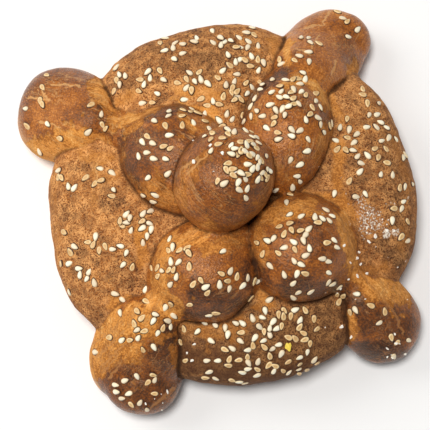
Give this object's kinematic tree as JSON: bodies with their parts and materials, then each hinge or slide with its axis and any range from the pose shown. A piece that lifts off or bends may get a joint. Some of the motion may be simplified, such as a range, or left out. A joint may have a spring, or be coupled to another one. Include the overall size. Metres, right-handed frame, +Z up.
{
  "type": "pan de muerto",
  "caption": "Round sweet bread with crossed dough bones over a domed loaf, a dough ball on top and a sprinkle of sesame seeds.",
  "frame": {"origin": "middle of the bounding box on the plane the bread rests on; the loaf's own axis is at x 5.5 mm, y 0.9 mm", "axes": "+Z up out of the loaf's top, +X to the right and +Y away from the viewer in the picture, which looks down on the bread"},
  "size_m": [0.1491, 0.1525, 0.0672],
  "materials": {
    "crust": "satin",
    "sesame": "satin"
  },
  "bodies": {
    "root": {"pan_de_muerto": "crust"}
  },
  "joints": []
}
